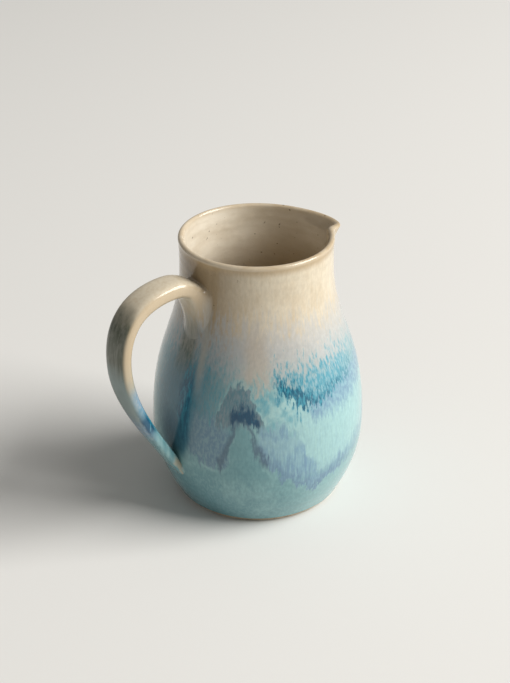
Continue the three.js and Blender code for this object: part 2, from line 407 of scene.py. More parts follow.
def body_profile(wall, foot_top):
    """Outside, lip, inside and floor, from the middle of the underside to the middle of the floor."""
    b = wall.body
    lip = b.rim_wall / 2
    bottom = foot_top + GAP
    floor = bottom + b.floor
    top = b.height - lip
    edge = 1.3 * MM  # rounding of the body's lowest edge
    edge_centre = Vector((wall.radius(bottom + edge) - edge, 0, bottom + edge))
    outside = [p for p in wall.path if bottom + edge * 1.4 < p.z < top]
    lip_centre = Vector((wall.radius(top) - lip, 0, top))
    corner_top = floor + b.inner_corner
    inside = [p - Vector((wall.thickness(p.z), 0, 0)) for p in outside if p.z > corner_top]
    corner_centre = Vector(
        (wall.radius(corner_top) - wall.thickness(corner_top) - b.inner_corner, 0, corner_top)
    )
    middle = Vector((0, 0, 1))
    return [
        middle * bottom,
        Vector((edge_centre.x * 0.5, 0, bottom)),
        *arc(edge_centre, edge, -90, 0, 4),
        *outside,
        *arc(lip_centre, lip, 0, 180, 16),
        *reversed(inside),
        *arc(corner_centre, b.inner_corner, 0, -90, 8),
        Vector((corner_centre.x * 0.66, 0, floor)),
        Vector((corner_centre.x * 0.33, 0, floor)),
        middle * floor,
    ]


class PITCHER_OT_body(bpy.types.Operator):
    """Throw the body: spin its wall, lip and floor, leave the finger rings and pull the spout"""

    bl_idname = "pitcher.body"
    bl_label = "Body"

    THIN_DEPTH = 4.5 * MM  # how far below the lip its glaze runs thin

    def execute(self, context):
        settings = context.scene.pitcher
        wall = Wall(settings)
        bm = spin_profile(body_profile(wall, settings.foot.thickness), 300)
        inner = bm.verts.layers.float.new("inner")
        lip = bm.verts.layers.float.new("lip")
        for vert in bm.verts:
            radius = math.hypot(vert.co.x, vert.co.y)
            vert[inner] = smooth((wall.radius(vert.co.z) - radius) / wall.body.rim_wall - 0.05)
            vert[lip] = smooth((vert.co.z - wall.body.height) / self.THIN_DEPTH + 1)
            vert.co = wall.shaped(vert.co)
        finish_piece(bm, "glazed_body", body_material(settings.glaze), "body")
        return {"FINISHED"}


class PITCHER_OT_foot(bpy.types.Operator):
    """Turn the bare foot that the body stands on"""

    bl_idname = "pitcher.foot"
    bl_label = "Foot"

    SHOULDER_ROUNDING = 0.5 * MM
    RIM_WIDTH = 9 * MM  # the flat ring round the turned hollow
    GROOVE = 0.06 * MM  # depth and width of the turning marks in the hollow
    GROOVE_WIDTH = 0.9 * MM

    def execute(self, context):
        settings = context.scene.pitcher
        foot = settings.foot
        corner = Vector((foot.radius - foot.chamfer, 0, foot.chamfer))
        rounding = self.SHOULDER_ROUNDING
        shoulder = Vector((foot.radius - rounding, 0, foot.thickness - rounding))
        hollow_radius = foot.radius - self.RIM_WIDTH
        profile = [
            Vector((0, 0, foot.recess)),
            Vector((foot.radius * 0.4, 0, foot.recess)),
            Vector((hollow_radius, 0, foot.recess)),
            Vector((hollow_radius + 1.5 * MM, 0, 0)),
            Vector((hollow_radius + 5 * MM, 0, 0)),
            *arc(corner, foot.chamfer, -90, 0, 5),
            *arc(shoulder, rounding, 0, 90, 3),
            Vector((foot.radius * 0.5, 0, foot.thickness)),
            Vector((0, 0, foot.thickness)),
        ]
        bm = spin_profile(profile, 160)
        for vert in bm.verts:
            radius = math.hypot(vert.co.x, vert.co.y)
            if vert.co.z < foot.recess * 1.5 and radius < hollow_radius:
                vert.co.z += self.GROOVE * math.sin(radius / self.GROOVE_WIDTH)
        finish_piece(bm, "bare_foot", clay_material(settings.glaze), "foot")
        return {"FINISHED"}


# ---------------------------------------------------------------- strap handle


class Strap:
    """The handle's centreline and sizes, in the plane of the loop with the handle towards +X."""

    SINK = 2.2 * MM  # how deep the strap and the clay run into the wall
    SQUARENESS = 3.3  # 2 is an ellipse, higher is squarer
    FLARE, FLARE_RUN = 3.0 * MM, 6 * MM  # how much the strap widens at its upper root, and how far out
    FEATHERED = 0.55  # share of its thickness that the tail keeps where it is smeared on the wall
    STEPS = 60

    def __init__(self, settings, wall):
        self.sizes, self.wall = settings.handle, wall
        h, body = self.sizes, settings.body
        root_height = body.height - h.root_below_rim
        root = Vector((wall.radius(root_height), 0, root_height))
        crest = root + Vector((h.crest_out, 0, h.crest_rise))
        outermost = Vector((body.belly_radius + h.standoff, 0, crest.z - h.outermost_drop))
        tail = Vector((wall.radius(h.tail_height), 0, h.tail_height))
        self.root, self.tail = root, tail
        self.path = bezier_path(
            [
                (
                    root,
                    Vector((mix(root.x, crest.x, 0.27), 0, mix(root.z, crest.z, 0.62))),
                    Vector((mix(crest.x, root.x, 0.38), 0, crest.z)),
                    crest,
                ),
                (
                    crest,
                    Vector((mix(crest.x, outermost.x, 0.82), 0, crest.z)),
                    Vector((outermost.x, 0, mix(outermost.z, crest.z, 0.47))),
                    outermost,
                ),
                (
                    outermost,
                    Vector((outermost.x, 0, mix(outermost.z, tail.z, 0.365))),
                    Vector((mix(tail.x, outermost.x, 0.288), 0, mix(tail.z, outermost.z, 0.264))),
                    tail,
                ),
            ],
            self.STEPS,
        )
        self.length = at(self.path, 1)[1]

    def middle(self, run):
        """Centreline point and direction at a distance from the root, straight on past both ends."""
        inside = clamp(run, 0, self.length)
        here = at(self.path, inside / self.length)[0]
        step = 0.4 * MM
        before = at(self.path, (inside - step) / self.length)[0]
        after = at(self.path, (inside + step) / self.length)[0]
        direction = (after - before).normalized()
        return here + direction * (run - inside), direction

    def size(self, run):
        """Half the width and half the thickness at a distance from the root."""
        h, share = self.sizes, clamp(run / self.length)
        first, second = smooth(share * 2), smooth(share * 2 - 1)
        width = mix(mix(h.root_width, h.middle_width, first), h.tail_width, second)
        thickness = mix(mix(h.root_thickness, h.middle_thickness, first), h.tail_thickness, second)
        width += self.FLARE * math.exp(-max(run, 0) / self.FLARE_RUN)
        thickness *= mix(1, self.FEATHERED, smooth((run - self.length + 9 * MM) / (12 * MM)))
        return width / 2, thickness / 2

    def point(self, run, turn, grow=1.0):
        """A point on the strap at an angle round its section, 0 on one edge and 90 degrees outside."""
        middle, direction = self.middle(run)
        half_width, half_thickness = self.size(run)
        bent = [
            math.copysign(abs(v) ** (2 / self.SQUARENESS), v) for v in (math.cos(turn), math.sin(turn))
        ]
        outward = Vector((-direction.z, 0, direction.x))
        across = Vector((0, bent[0] * half_width * grow, 0))
        wobble = 1 + 0.02 * noise.noise(Vector((middle.x, bent[1] * 8 * MM, middle.z)) * 60)
        return self.placed(middle + (across + outward * bent[1] * half_thickness * grow) * wobble)

    def placed(self, point):
        """Turns a point of the loop's plane to the handle's side, held out of the pot's inside."""
        turned = Vector((-point.x, -point.y, point.z))
        radius = math.hypot(turned.x, turned.y)
        angle = math.atan2(turned.y, turned.x)
        if radius < self.wall.radius(turned.z):
            deepest = self.wall.point(angle, turned.z, self.SINK)
            if math.hypot(deepest.x, deepest.y) > radius:
                return deepest
        return turned


STRAP_WAYS = ("along", "across", "through")  # where a point is on the strap: run, width, thickness


def float_layers(bm, names):
    return [bm.verts.layers.float.new(name) for name in names]


def mark(vert, layers, values):
    for layer, value in zip(layers, values):
        vert[layer] = value


class PITCHER_OT_handle(bpy.types.Operator):
    """Pull the strap handle along its loop, from the neck to the belly"""

    bl_idname = "pitcher.handle"
    bl_label = "Handle"

    ROOT_END = 5 * MM  # how far the strap goes on inside the wall, at its root and at its tail
    TAIL_END = 3 * MM

    def execute(self, context):
        settings = context.scene.pitcher
        strap = Strap(settings, Wall(settings))
        bm = unit_bar(36, 120)
        layers = float_layers(bm, STRAP_WAYS)
        for vert in bm.verts:
            turn = math.atan2(vert.co.y, vert.co.x)
            run = mix(-self.ROOT_END, strap.length + self.TAIL_END, vert.co.z)
            mark(vert, layers, (clamp(run / strap.length), vert.co.x, vert.co.y))
            vert.co = strap.point(run, turn)
        bmesh.ops.recalc_face_normals(bm, faces=bm.faces)
        finish_piece(bm, "strap_handle", strap_material(settings.glaze), "handle", levels=1)
        return {"FINISHED"}


# ---------------------------------------------------------------- clay round the roots


def root_collar(strap, run, footprint):
    """Clay between the strap, that far from the wall, and a footprint on the wall: a closed fillet.

    footprint(turn, share) gives a place on the wall as its distance across and its height, the whole
    way or a share of the way out to the footprint's border."""
    wall = strap.wall
    steps = 24  # along the fillet, and again along the hidden side behind it
    bm = unit_collar(24, 96)
    layers = float_layers(bm, (*STRAP_WAYS, "onto_wall"))
    start = 0 if run < strap.length / 2 else strap.length
    for vert in bm.verts:
        turn = math.atan2(vert.co.y, vert.co.x)
        ring = math.hypot(vert.co.x, vert.co.y) - COLLAR_RADIUS
        around = math.atan2(vert.co.z, ring)
        share = clamp((around / math.pi + 1) / 2)
        across, height = footprint(turn)
        angle = math.pi + across / wall.radius(height)
        border = wall.point(angle, height, GAP)
        if share < 0.5:
            on_strap = strap.point(run, turn, 0.965)
            down_strap = strap.point(mix(run, start, 0.55), turn)
            foot_across, foot_height = footprint(turn, 0.62)
            near_wall = wall.point(math.pi + foot_across / wall.radius(foot_height), foot_height)
            side = interpolate_bezier(on_strap, down_strap, near_wall, border, steps + 1)
            vert.co = side[round(share * 2 * steps)]
        else:
            buried = wall.point(angle, height, strap.SINK)
            heart = strap.point(start, turn, 0.5)
            behind = strap.point(run, turn, 0.75)
            side = interpolate_bezier(border, buried, heart, behind, steps + 1)
            vert.co = side[round((share * 2 - 1) * steps)]
        values = (clamp(run / strap.length), math.cos(turn), math.sin(turn), smooth(share * 2))
        mark(vert, layers, values)
    close_surface(bm)
    return bm


class PITCHER_OT_root_clay(bpy.types.Operator):
    """Work soft clay round both roots of the strap and smear it onto the wall"""

    bl_idname = "pitcher.root_clay"
    bl_label = "Root clay"

    def execute(self, context):
        settings = context.scene.pitcher
        strap = Strap(settings, Wall(settings))

        def upper(turn, share=1.0):
            up, side = math.sin(turn), math.cos(turn)
            reach = 11 * MM if up > 0 else 31 * MM
            spread = 17.5 * MM if side > 0 else 15 * MM
            return spread * side * share, strap.root.z + reach * up * share

        def lower(turn, share=1.0):
            up, side = -math.sin(turn), math.cos(turn)
            reach = 11 * MM if up > 0 else 8 * MM
            spread = (10 if side > 0 else 13) * MM * (1 - 0.4 * max(0, -up) ** 2)
            return spread * side * share, strap.tail.z + (1.5 * MM + reach * up) * share

        material = root_material(settings.glaze)
        for root, run, footprint in (("upper", 13 * MM, upper), ("lower", strap.length - 8 * MM, lower)):
            node = root + "_root_clay"
            bm = root_collar(strap, run, footprint)
            finish_piece(bm, node + "_worked", material, node, levels=1)
        return {"FINISHED"}


# ---------------------------------------------------------------- node recipes


class Recipe:
    """Adds nodes to a tree, so that a pattern reads from top to bottom."""

    def __init__(self, tree):
        self.tree = tree

    def node(self, kind, *inputs, **settings):
        """A new node. Inputs are sockets or values in the order of its sockets, None leaves one."""
        node = self.tree.nodes.new("ShaderNode" + kind)
        for key, value in settings.items():
            setattr(node, key, value)
        for socket, given in zip(node.inputs, inputs):
            self.give(socket, given)
        return node

    def give(self, socket, given):
        if isinstance(given, bpy.types.NodeSocket):
            self.tree.links.new(given, socket)
        elif given is not None:
            socket.default_value = given

    def math(self, operation, *inputs, clamped=False):
        return self.node("Math", *inputs, operation=operation, use_clamp=clamped).outputs[0]

    def product(self, *factors):
        value = factors[0]
        for factor in factors[1:]:
            value = self.math("MULTIPLY", value, factor)
        return value

    def step(self, value, low, high, to_low=0.0, to_high=1.0):
        """Rises smoothly from to_low to to_high as value goes from low to high."""
        node = self.node("MapRange", value, low, high, to_low, to_high, interpolation_type="SMOOTHSTEP")
        return node.outputs[0]

    def blend(self, share, a, b, kind="MIX"):
        node = self.node("Mix", data_type="RGBA", blend_type=kind, clamp_factor=True)
        self.give(node.inputs[0], share)
        self.give(node.inputs[6], a)
        self.give(node.inputs[7], b)
        return node.outputs[2]

    def noise(self, position, stretch, detail=3.0, roughness=0.55, distortion=0.0):
        """Noise with features about one over stretch metres long, each way."""
        spread = self.node("VectorMath", position, stretch, operation="MULTIPLY").outputs[0]
        node = self.node("TexNoise")
        for key, value in (
            ("Vector", spread),
            ("Scale", 1.0),
            ("Detail", detail),
            ("Roughness", roughness),
            ("Distortion", distortion),
        ):
            self.give(node.inputs[key], value)
        return node.outputs[0]

    def curve(self, value, points):
        """A smooth curve through a few points, each from 0 to 1 both ways."""
        node = self.node("FloatCurve", 1.0, value)
        line = node.mapping.curves[0]
        line.points[0].location = points[0]
        line.points[1].location = points[-1]
        for x, y in points[1:-1]:
            line.points.new(x, y)
        for point in line.points:
            point.handle_type = "AUTO_CLAMPED"
        node.mapping.update()
        return node.outputs[0]

    def edge(self, turn, places):
        """A line round the pot through places given as turn in degrees and height in millimetres."""
        points = [(degree / 360, height * MM / HEIGHT_SCALE) for degree, height in places]
        return self.curve(turn, points)

    def zone(self, turn, height, low, high, soft_low=2.0, soft_high=4.0):
        """1 between two lines round the pot, with soft borders in millimetres."""
        down, up = soft_low * MM / HEIGHT_SCALE, soft_high * MM / HEIGHT_SCALE
        over = self.step(self.math("SUBTRACT", height, self.edge(turn, low)), -down, down)
        under = self.step(self.math("SUBTRACT", self.edge(turn, high), height), -up, up)
        return self.product(over, under)

    def span(self, turn, start, end, soft=4.0):
        """1 between two turns in degrees, with soft ends."""
        rise = self.step(turn, (start - soft) / 360, (start + soft) / 360)
        fall = self.step(turn, (end - soft) / 360, (end + soft) / 360, 1.0, 0.0)
        return self.product(rise, fall)


class Glazing(Recipe):
    """Builds a glaze up in layers, from the tints that its group is given."""

    def __init__(self, tree, tint):
        super().__init__(tree)
        self.tint = tint
        self.shade = None

    def between(self, a, b, share):
        return self.blend(share, self.tint[a], self.tint[b])

    def flecked(self, a, b, pattern, share=1.0, low=0.40, top=0.64):
        """Shade b in flecks on shade a, where the pattern is high."""
        return self.blend(self.product(self.step(pattern, low, top), share), a, b)

    def lay(self, over, *masks):
        """Lays a shade over what is there, where every mask is high."""
        self.shade = self.blend(self.product(*masks), self.shade, over)

    def level(self, value, low, top):
        """Rises from 0 to 1 between two heights in millimetres, or falls if the first is the higher."""
        return self.step(value, low * MM / HEIGHT_SCALE, top * MM / HEIGHT_SCALE)


def solid(colour_value):
    return (*colour_value, 1.0)


LINER_TINTS = ("Cream", "Ochre", "Iron")
TINTS = (*LINER_TINTS, "Haze", "Mint", "Teal", "Turquoise", "Cobalt", "Lavender", "Mauve", "Olive")
WAYS = ("Along", "Across", "Through")


def sockets(kind, *names):
    return [(name, "NodeSocket" + kind) for name in names]


COLOUR_OUT = sockets("Color", "Color")


def raised(line, rise):
    """A line round the pot, so many millimetres higher."""
    return [(degree, height + rise) for degree, height in line]


def node_group(name, inputs, outputs):
    """Turns a function that fills a group from its start and end sockets into one that places it.

    The group is built once, and takes the object's position first."""

    def wrap(fill):
        def placed(recipe, place, **given):
            group = bpy.data.node_groups.get(name)
            if group is None:
                group = bpy.data.node_groups.new(name, "ShaderNodeTree")
                for socket_name, kind in sockets("Vector", "Position") + inputs:
                    group.interface.new_socket(socket_name, in_out="INPUT", socket_type=kind)
                for socket_name, kind in outputs:
                    group.interface.new_socket(socket_name, in_out="OUTPUT", socket_type=kind)
                start = group.nodes.new("NodeGroupInput").outputs
                end = group.nodes.new("NodeGroupOutput").inputs
                fill(Glazing(group, start), start["Position"], start, end)
            node = recipe.node("Group", place, node_tree=group)
            for key, value in given.items():
                recipe.give(node.inputs[key], value)
            return node.outputs

        return placed

    return wrap


@node_group("Glaze surface", [], sockets("Float", "Roughness", "Height"))
def glaze_surface(r, place, start, end):
    """Gloss and relief that every glazed piece shares: orange peel, pinholes and a faint flow."""
    peel = r.noise(place, (330, 330, 240), 2.0)
    flow = r.noise(place, (90, 90, 22), 2.0)
    pits = r.step(r.noise(place, (1500, 1500, 1500), 1.0), 0.74, 0.8)
    height = r.math("ADD", r.product(peel, 0.5), r.product(flow, 0.8))
    height = r.math("SUBTRACT", height, r.product(pits, 0.35))
    gloss = r.math("ADD", 0.13, r.product(peel, 0.10))
    r.give(end["Height"], height)
    r.give(end["Roughness"], r.math("ADD", gloss, r.product(pits, 0.2)))


@node_group("Wall glaze", sockets("Color", *TINTS), COLOUR_OUT)
def wall_glaze(r, place, tint, end):
    """Glaze on the outside of the pot: cream over teal, with the blue and lavender runs between them. Round
    the handle it is partly painted shade, and toward the key light the teal is partly painted light.
    """
    x, y, z = r.node("SeparateXYZ", place).outputs

    # turn from the handle and height, each from 0 to 1, warped as a running glaze is
    turn_here = r.math("ADD", r.math("DIVIDE", r.math("ARCTAN2", y, x), math.tau), 0.5)
    wander = r.math("SUBTRACT", r.noise(place, (130, 130, 90), 3.0), 0.5)
    fur = r.math("SUBTRACT", r.noise(place, (560, 560, 70), 4.0, 0.6), 0.5)
    thread = r.noise(place, (900, 900, 85), 3.0, 0.6)
    grain = r.noise(place, (620, 620, 300), 3.0, 0.6)
    cloud = r.noise(place, (60, 60, 48), 4.0, 0.6)
    turn = r.math("ADD", turn_here, r.product(wander, 0.022))
    high = r.math("DIVIDE", z, HEIGHT_SCALE)
    calm = r.math("ADD", high, r.product(wander, 0.035))
    runny = r.math("ADD", calm, r.product(fur, 0.15))
    runnier = r.math("ADD", calm, r.product(fur, 0.34))
    ragged = r.math("ADD", calm, r.product(fur, 0.09))

    # The handle side is turned from the key light. There every band is laid darker, in steel, mauve and dark
    # ochre: partly the glaze's own steel-blue runs, partly painted shade.
    away = r.span(turn_here, 35, 325, 22)
    shaded_handle_side = r.math("SUBTRACT", 1.0, away)
    steel = r.flecked(r.between("Mauve", "Teal", 0.5), tint["Turquoise"], thread, 0.45)
    pale_teal = r.between("Teal", "Mint", 0.62)

    # ground: teal below, seafoam, grey haze, then cream to the rim
    r.shade = r.flecked(tint["Teal"], pale_teal, cloud, 0.5, 0.38, 0.66)
    r.shade = r.flecked(r.shade, tint["Mint"], grain, 0.16)
    # Paler teal on the side turned to the key light: partly the glaze's paler patch, partly painted light
    # and reflection.
    r.lay(pale_teal, r.span(turn, 72, 200, 22), 0.75)
    r.lay(r.between("Teal", "Cobalt", 0.35), shaded_handle_side, r.level(calm, 44, 14), 0.6)
    sea = r.flecked(r.between("Mint", "Teal", 0.35), tint["Turquoise"], thread, 0.4)
    r.lay(r.blend(r.product(shaded_handle_side, 0.9), sea, steel), r.level(runny, 62, 84))
    mist = r.flecked(tint["Haze"], r.between("Mint", "Teal", 0.4), fur, 0.35, -0.12, 0.14)
    mist = r.blend(r.product(shaded_handle_side, 0.85), mist, steel)
    r.lay(mist, r.level(runnier, 92, 116))
    haze = r.flecked(tint["Haze"], r.between("Haze", "Lavender", 0.5), fur, 0.5, -0.15, 0.12)
    haze = r.blend(r.product(shaded_handle_side, 0.55), haze, r.between("Mauve", "Haze", 0.3))
    r.lay(haze, r.level(runnier, 106, 128))
    streaked = r.flecked(tint["Cream"], tint["Ochre"], fur, 0.16, -0.1, 0.2)
    streaked = r.flecked(streaked, tint["Ochre"], cloud, 0.25, 0.42, 0.7)
    cream = r.blend(r.product(shaded_handle_side, 0.82), streaked, r.between("Ochre", "Iron", 0.45))
    r.lay(cream, r.level(runnier, 122, 150))

    # ochre tongue that runs down into the haze on the front
    tongue = r.product(r.span(turn, 43, 57, 4), r.level(runny, 96, 112), r.level(runny, 146, 128))
    r.lay(r.between("Haze", "Ochre", 0.4), tongue, 0.6)

    # pale pool on the right of the front
    pool = r.zone(
        turn,
        runny,
        [
            (0, 60), (50, 76), (66, 76), (76, 54), (88, 42), (100, 42), (118, 50), (180, 40),
            (240, 60), (300, 44), (360, 60),
        ],
        [
            (0, 70), (50, 94), (66, 96), (80, 92), (100, 90), (125, 96), (180, 86), (240, 96),
            (300, 92), (360, 70),
        ],
        5,
        5,
    )
    pool_shade = r.flecked(tint["Mint"], r.between("Mint", "Lavender", 0.5), thread, 0.4)
    r.lay(pool_shade, pool, r.span(turn, 58, 330, 6), 0.9)
    mottled = r.product(r.span(turn, 50, 72, 4), r.level(runny, 76, 84), r.level(runny, 102, 94))
    r.lay(r.flecked(tint["Mint"], tint["Turquoise"], wander, 0.75, -0.1, 0.12), mottled, 0.8)

    # blue field: dark runs at its foot, fading upwards in threads
    field = r.zone(
        turn,
        runnier,
        [
            (0, 98), (22, 104), (57, 104), (62, 99), (71, 91), (79, 87), (90, 89), (101, 90),
            (112, 95), (150, 104), (185, 90), (230, 100), (280, 88), (330, 102), (360, 98),
        ],
        [
            (0, 108), (22, 116), (56, 106), (62, 109), (82, 110), (100, 112), (114, 114), (150, 118),
            (185, 108), (230, 116), (280, 108), (330, 114), (360, 108),
        ],
        1.8,
        9,
    )
    runs = r.flecked(r.between("Mint", "Lavender", 0.5), tint["Turquoise"], thread, 0.9, 0.30, 0.60)
    fading = r.step(turn, 100 / 360, 128 / 360, 1.0, 0.45)
    r.lay(runs, field, r.span(turn, 58, 345, 3), fading, 0.9)
    foot_of_field = r.zone(
        turn,
        runny,
        [
            (0, 96), (57, 103), (63, 99), (70, 92), (78, 87), (88, 89), (104, 94), (150, 104),
            (185, 90), (230, 100), (280, 88), (330, 102), (360, 96),
        ],
        [
            (0, 100), (57, 106), (63, 107), (70, 104), (78, 99), (88, 95), (104, 97), (150, 107),
            (185, 97), (230, 104), (280, 96), (330, 105), (360, 100),
        ],
        1.5,
        3.5,
    )
    deep = r.flecked(tint["Turquoise"], tint["Cobalt"], thread, 0.85, 0.38, 0.6)
    r.lay(deep, foot_of_field, r.span(turn, 61, 340, 3), fading, 0.92)

    # lavender band under the blue field
    band = r.zone(
        turn,
        runny,
        [
            (0, 60), (74, 84), (82, 79), (100, 79), (120, 84), (160, 92), (185, 76), (230, 88),
            (280, 74), (360, 60),
        ],
        [
            (0, 60), (74, 86), (82, 88), (100, 92), (120, 98), (160, 103), (185, 90), (230, 100),
            (280, 88), (360, 60),
        ],
        4,
        2,
    )
    pale_lavender = r.flecked(tint["Lavender"], r.between("Lavender", "Mint", 0.55), grain, 0.7)
    r.lay(pale_lavender, band, r.span(turn, 80, 300, 4), 0.85)

    # periwinkle sweep that dips to a low point and rises again, darkest along its lower border
    sweep_foot = [
        (0, 60), (46, 66), (51, 59), (56, 51), (63, 43), (71, 36), (79, 29), (83, 26), (87, 29),
        (95, 34), (108, 38), (150, 60), (190, 34), (225, 52), (265, 30), (310, 55), (360, 60),
    ]
    sweep = r.zone(
        turn,
        runny,
        sweep_foot,
        [
            (0, 62), (46, 72), (52, 78), (61, 77), (70, 71), (77, 58), (83, 46), (90, 43), (98, 46),
            (112, 50), (150, 70), (190, 48), (225, 66), (265, 46), (310, 66), (360, 62),
        ],
        1.4,
        5,
    )
    sweep_ends = r.product(r.span(turn, 50, 320, 2), r.step(turn, 92 / 360, 112 / 360, 1.0, 0.4))
    stroke = r.flecked(tint["Lavender"], r.between("Lavender", "Mint", 0.6), thread, 0.8)
    stroke = r.flecked(stroke, tint["Mint"], cloud, 0.5, 0.42, 0.68)
    r.lay(stroke, sweep, sweep_ends, 0.92)
    sweep_edge = r.zone(turn, runny, sweep_foot, raised(sweep_foot, 7), 1.4, 5)
    dusky = r.flecked(r.between("Lavender", "Mauve", 0.35), tint["Lavender"], thread, 0.9)
    r.lay(dusky, sweep_edge, sweep_ends, 0.8)

    # grey lavender left of the arch, with a pale lower rim
    side_foot = [(0, 56), (12, 54), (21, 50), (29, 46), (35, 50), (39, 58), (360, 56)]
    side_top = [(0, 74), (10, 80), (24, 80), (30, 84), (36, 84), (360, 74)]
    side = r.zone(turn, runny, side_foot, side_top, 1.5, 5)
    hazy = r.flecked(r.between("Mauve", "Lavender", 0.6), r.between("Teal", "Haze", 0.2), grain, 0.6)
    r.lay(hazy, side, r.span(turn, 10, 35, 3), 0.85)
    side_rim = r.zone(turn, calm, raised(side_foot, -2.4), side_foot, 1.2, 1.2)
    r.lay(r.between("Teal", "Mint", 0.75), side_rim, r.span(turn, 21, 40, 3), 0.6)

    # arch on the front: a grey dome with a thin pale outline and a dark blue crown
    dome_top = [
        (0, 40), (24, 60), (28, 78), (31, 93), (36, 102), (42, 105), (46, 101), (50, 91), (54, 79),
        (60, 60), (360, 40),
    ]
    dome_foot = [(0, 79), (34, 78), (42, 82), (48, 78), (360, 79)]
    inside_arch = r.span(turn, 27, 55, 1.5)
    outline = r.zone(turn, calm, dome_foot, raised(dome_top, 3.0), 4, 1.6)
    r.lay(r.between("Mint", "Teal", 0.2), outline, inside_arch, 0.45)
    dome = r.zone(turn, ragged, dome_foot, dome_top, 3, 1.8)
    slate = r.flecked(r.between("Mauve", "Teal", 0.4), r.between("Mauve", "Haze", 0.4), thread, 0.6)
    r.lay(slate, dome, inside_arch, 0.9)

    # two dark veins run down from the crown, over the teal between them
    def vein(line, half, first, last, strength):
        stripe = r.zone(turn, ragged, raised(line, -half), raised(line, half), 3.5, 3.5)
        return r.product(stripe, r.span(turn, first, last, 1), strength)

    gable = [(0, 40), (33, 48), (37, 62), (42, 79), (46, 70), (52, 54), (60, 40), (360, 40)]
    r.lay(tint["Teal"], r.zone(turn, calm, [(0, 40), (360, 40)], gable, 4, 2), 0.7)
    left_vein = vein([(0, 50), (29, 50), (32, 57), (37, 72), (40, 82), (360, 82)], 5, 29.5, 41, 0.75)
    right_vein = vein([(0, 84), (42, 84), (47, 70), (51, 61), (55, 54), (360, 50)], 4, 42.5, 56, 0.75)
    r.lay(tint["Mauve"], left_vein)
    r.lay(tint["Mauve"], right_vein)

    # dark blue crown of the arch
    crown_foot = [(0, 79), (36, 79), (42, 82), (51, 77), (360, 79)]
    crown_top = [(0, 84), (36, 86), (40, 91), (47, 90), (52, 83), (360, 84)]
    crown = r.zone(turn, ragged, crown_foot, crown_top, 2.5, 3.5)
    darkest = r.flecked(tint["Cobalt"], tint["Turquoise"], thread, 0.2, 0.5, 0.7)
    r.lay(darkest, crown, r.span(turn, 36, 51, 1.5))

    # runs under the upper root: olive above, deep turquoise below, and the pale smear beside them. The olive
    # and the deep turquoise are partly painted shade under the strap, and the darker wall beside the strap
    # and the dark band by its tail are painted shade
    from_front = r.math("ABSOLUTE", r.math("SUBTRACT", turn_here, 0.5))
    under = r.math("SUBTRACT", 1.0, r.math("MULTIPLY", from_front, 2))
    behind_strap = r.step(under, 4 / 180, 11 / 180, 1.0, 0.0)
    run_shade = r.flecked(tint["Olive"], r.between("Olive", "Haze", 0.35), fur, 0.8, -0.14, 0.12)
    r.lay(run_shade, behind_strap, r.level(calm, 92, 108), r.level(calm, 146, 130), 0.85)
    # Painted shade: the wall beside the strap, between its roots, laid in darker mauve teal.
    shaded_wall = r.between("Mauve", "Teal", 0.35)
    beside_strap = r.step(under, 9 / 180, 24 / 180, 1.0, 0.0)
    r.lay(shaded_wall, beside_strap, r.level(calm, 44, 66), r.level(calm, 120, 96), 0.75)
    dark_run = r.flecked(tint["Turquoise"], tint["Cobalt"], fur, 0.95, -0.16, 0.08)
    r.lay(dark_run, r.span(turn, 3, 12, 2), r.level(runny, 52, 66), r.level(runny, 116, 98), 0.7)
    # Painted shade: the wall close by the strap just above its tail, laid in dark cobalt teal.
    painted_tail_shade = r.step(under, 5 / 180, 15 / 180, 1.0, 0.0)
    r.lay(r.between("Cobalt", "Teal", 0.25), painted_tail_shade, r.level(calm, 44, 54), r.level(calm, 82, 66), 0.8)
    smear = r.product(r.span(turn_here, 12.5, 17, 2), r.level(calm, 84, 112), r.level(calm, 160, 146))
    r.lay(r.between("Haze", "Olive", 0.35), smear, 0.7)

    # thin ochre at the very top and a few iron specks
    r.lay(r.between("Cream", "Ochre", 0.85), r.level(high, 169, 174.5), 0.8)
    specks = r.step(r.noise(place, (420, 420, 420), 2.0, 0.5), 0.735, 0.76)
    r.lay(tint["Iron"], specks, r.level(calm, 110, 150), 0.5)
    mottle = r.step(grain, 0.25, 0.8, 0.93, 1.06)
    shade = r.node("CombineColor", mottle, mottle, mottle).outputs[0]
    r.give(end["Color"], r.blend(1.0, r.shade, shade, "MULTIPLY"))


@node_group("Liner glaze", sockets("Float", "Lip") + sockets("Color", *LINER_TINTS), COLOUR_OUT)
def liner_glaze(r, place, start, end):
    """Glaze inside the pot and on the lip: cream with warm ochre flecks, thin and ochre at the edge. Painted
    shade darkens it deeper down and on the side turned from the key light.
    """
    cream, ochre, iron = (start[key] for key in LINER_TINTS)
    cloud = r.noise(place, (34, 34, 60), 4.0, 0.6)
    wash = r.noise(place, (110, 110, 300), 3.0, 0.6)
    x, y, height = r.node("SeparateXYZ", place).outputs
    bright = r.blend(0.75, cream, solid((0.96, 0.88, 0.74)))
    warm = r.blend(0.5, cream, ochre)
    liner = r.flecked(bright, warm, cloud, 0.5, 0.35, 0.7)
    liner = r.flecked(liner, warm, wash, 0.2, 0.4, 0.75)
    # Painted shade: the liner turns to dark ochre and iron deeper down inside and on the side turned from
    # the key light.
    deep = r.step(r.math("ADD", height, r.product(cloud, 30 * MM)), 178 * MM, 140 * MM)
    along_x = r.product(x, math.cos(LINER_SHADE_TURN))
    against_y = r.product(y, -math.sin(LINER_SHADE_TURN))
    side = r.step(r.math("SUBTRACT", along_x, against_y), -20 * MM, 34 * MM)
    liner_shade = r.math("ADD", r.product(deep, 0.45), r.product(side, 0.6), clamped=True)
    liner = r.blend(liner_shade, liner, r.blend(0.2, r.blend(0.85, cream, ochre), iron))
    thin, thinner = r.between("Cream", "Ochre", 0.35), r.between("Cream", "Ochre", 0.8)
    edge = r.flecked(thinner, thin, wash, 1.0, 0.3, 0.7)
    liner = r.blend(r.product(start["Lip"], 0.75), liner, edge)
    specks = r.step(r.noise(place, (360, 360, 360), 2.0, 0.5), 0.70, 0.73)
    r.give(end["Color"], r.blend(r.product(specks, 0.75), liner, iron))


